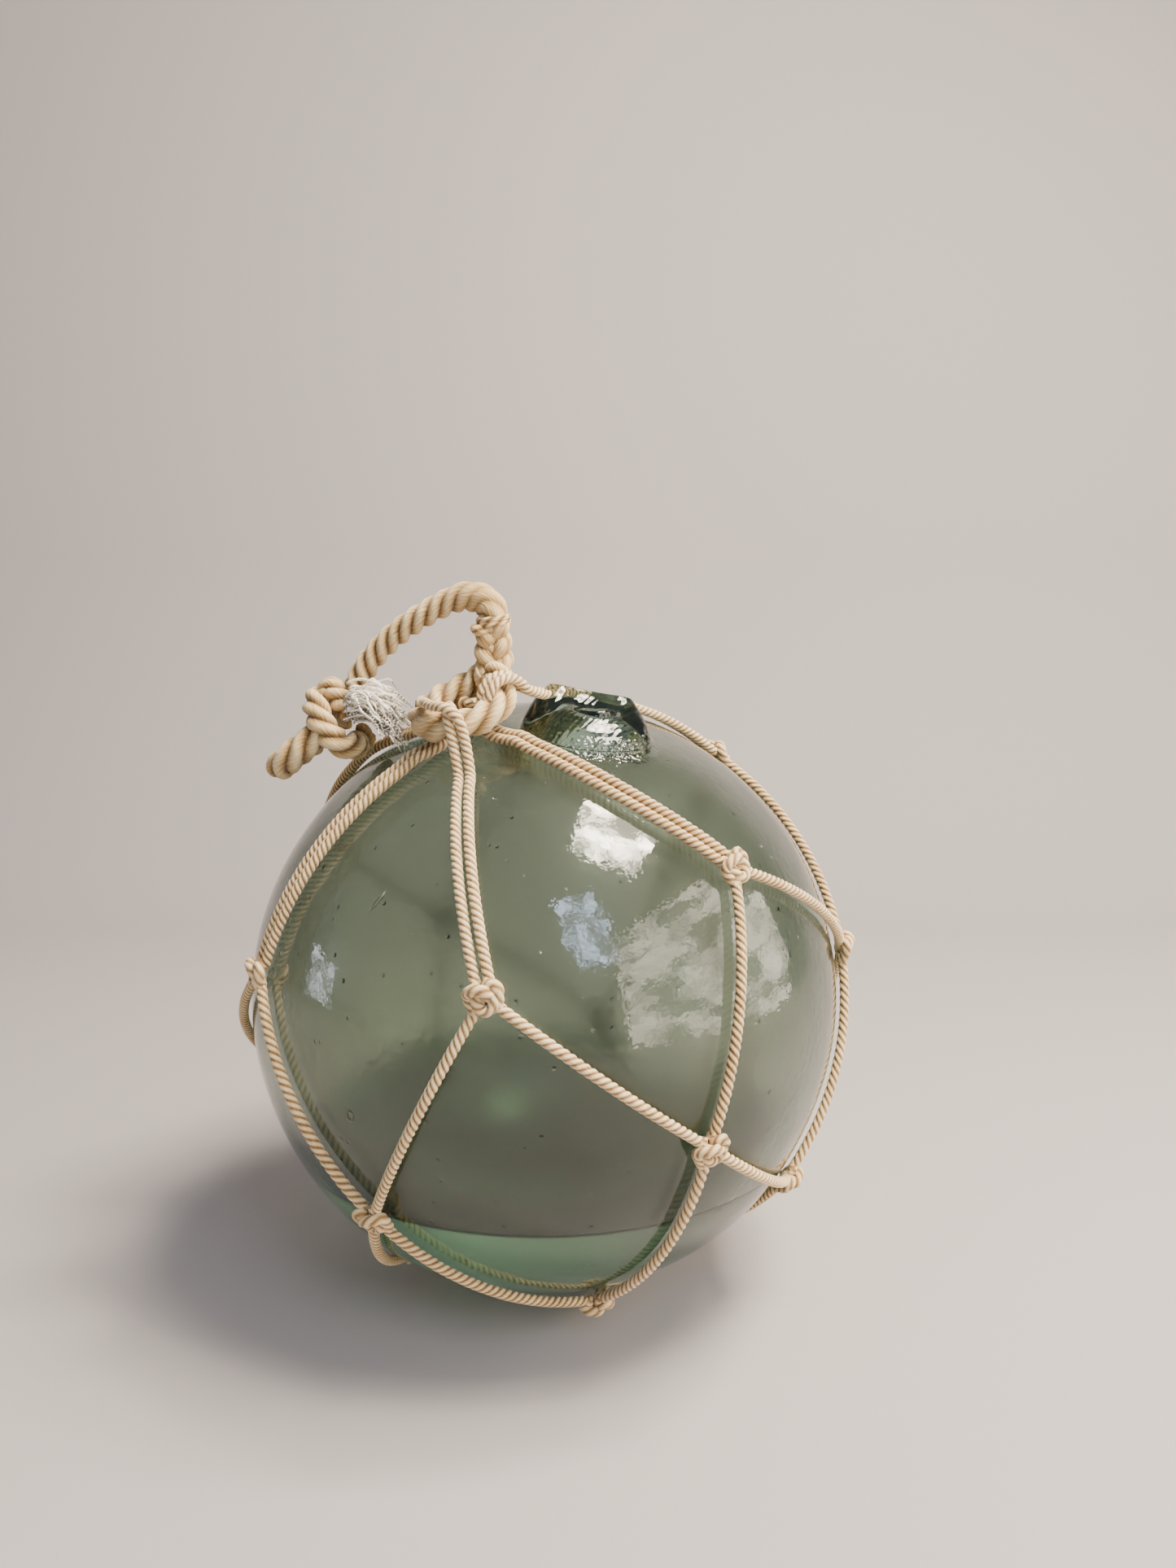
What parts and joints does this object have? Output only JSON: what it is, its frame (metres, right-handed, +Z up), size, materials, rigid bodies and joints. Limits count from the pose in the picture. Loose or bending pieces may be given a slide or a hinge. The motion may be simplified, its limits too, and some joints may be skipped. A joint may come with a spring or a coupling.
{
  "type": "glass fishing float",
  "caption": "Sealed hollow glass ball with a fused seal button, held in a hand-knotted twine net gathered on a spliced rope handle; a net float shown as an ornament.",
  "frame": {"origin": "on the ground straight under the centre of the glass ball, on the flattened underside of the net", "axes": "+Z up through the ball's centre; -Y towards the front, where the twisted front leg of the net runs down; +X to the right, on the side of the seal button; the rope handle falls towards -X"},
  "size_m": [0.1554, 0.1529, 0.181],
  "materials": {
    "glass": "clear pale green blown glass with small bubbles, fire-polished and a little scratched",
    "twine": "tarred and bleached cotton twine, matt",
    "rope": "worn three-strand rope, matt and hairy"
  },
  "bodies": {
    "root": {"glass_float": "glass", "net": "twine", "rope_eye": "rope", "rope_handle": "rope", "rope_end_knot": "rope"}
  },
  "joints": []
}
